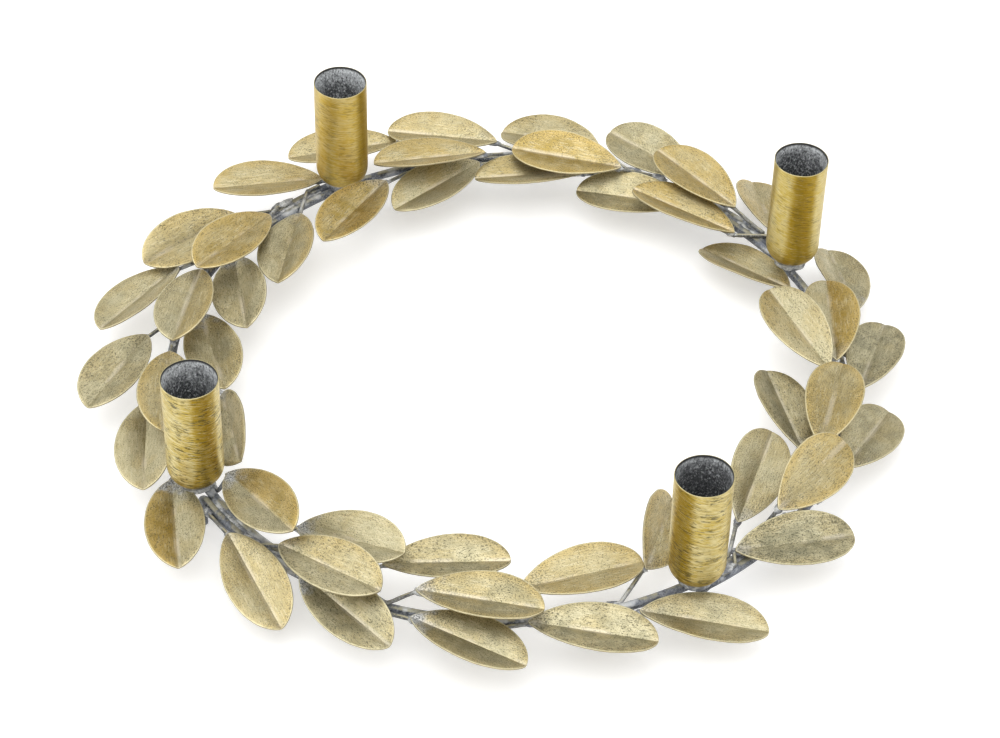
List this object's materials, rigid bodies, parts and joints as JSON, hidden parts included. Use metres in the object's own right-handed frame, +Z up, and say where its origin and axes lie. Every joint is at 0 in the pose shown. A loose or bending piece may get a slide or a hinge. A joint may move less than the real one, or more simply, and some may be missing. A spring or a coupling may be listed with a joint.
{
  "type": "candle ring",
  "caption": "wreath-shaped candle holder of folded brass leaves on a welded rod ring, with tall cups for dinner candles",
  "frame": {"origin": "on the table, under the middle of the wreath's outline", "axes": "+Z up, along the candles; +Y to the back of the picture's view"},
  "size_m": [0.362, 0.3616, 0.0775],
  "materials": {
    "cup_brass": "aged brass brushed round the cup",
    "leaf_brass": "pale aged brass with dark patina speckle",
    "rod_steel": "blackened steel, rubbed grey on top",
    "stalk_steel": "blackened wire with traces of brass colour",
    "solder": "dull whitish grey solder"
  },
  "bodies": {
    "root": {"candle_cup_1": "cup_brass", "candle_cup_2": "cup_brass", "candle_cup_3": "cup_brass", "candle_cup_4": "cup_brass", "branch_rod_1": "rod_steel", "branch_rod_2": "rod_steel", "branch_rod_3": "rod_steel", "branch_rod_4": "rod_steel", "cup_solder": "solder", "leaf_stalks": "stalk_steel", "outer_leaf_01": "leaf_brass", "outer_leaf_02": "leaf_brass", "outer_leaf_03": "leaf_brass", "outer_leaf_04": "leaf_brass", "outer_leaf_05": "leaf_brass", "outer_leaf_06": "leaf_brass", "outer_leaf_07": "leaf_brass", "outer_leaf_08": "leaf_brass", "outer_leaf_09": "leaf_brass", "outer_leaf_10": "leaf_brass", "outer_leaf_11": "leaf_brass", "outer_leaf_12": "leaf_brass", "outer_leaf_13": "leaf_brass", "outer_leaf_14": "leaf_brass", "outer_leaf_15": "leaf_brass", "outer_leaf_16": "leaf_brass", "outer_leaf_17": "leaf_brass", "outer_leaf_18": "leaf_brass", "outer_leaf_19": "leaf_brass", "outer_leaf_20": "leaf_brass", "top_leaf_01": "leaf_brass", "top_leaf_02": "leaf_brass", "top_leaf_03": "leaf_brass", "top_leaf_04": "leaf_brass", "top_leaf_05": "leaf_brass", "top_leaf_06": "leaf_brass", "top_leaf_07": "leaf_brass", "top_leaf_08": "leaf_brass", "top_leaf_09": "leaf_brass", "top_leaf_10": "leaf_brass", "top_leaf_11": "leaf_brass", "top_leaf_12": "leaf_brass", "top_leaf_13": "leaf_brass", "inner_leaf_01": "leaf_brass", "inner_leaf_02": "leaf_brass", "inner_leaf_03": "leaf_brass", "inner_leaf_04": "leaf_brass", "inner_leaf_05": "leaf_brass", "inner_leaf_06": "leaf_brass", "inner_leaf_07": "leaf_brass", "inner_leaf_08": "leaf_brass", "inner_leaf_09": "leaf_brass", "inner_leaf_10": "leaf_brass", "inner_leaf_11": "leaf_brass", "inner_leaf_12": "leaf_brass", "inner_leaf_13": "leaf_brass", "inner_leaf_14": "leaf_brass", "inner_leaf_15": "leaf_brass", "inner_leaf_16": "leaf_brass"}
  },
  "joints": []
}
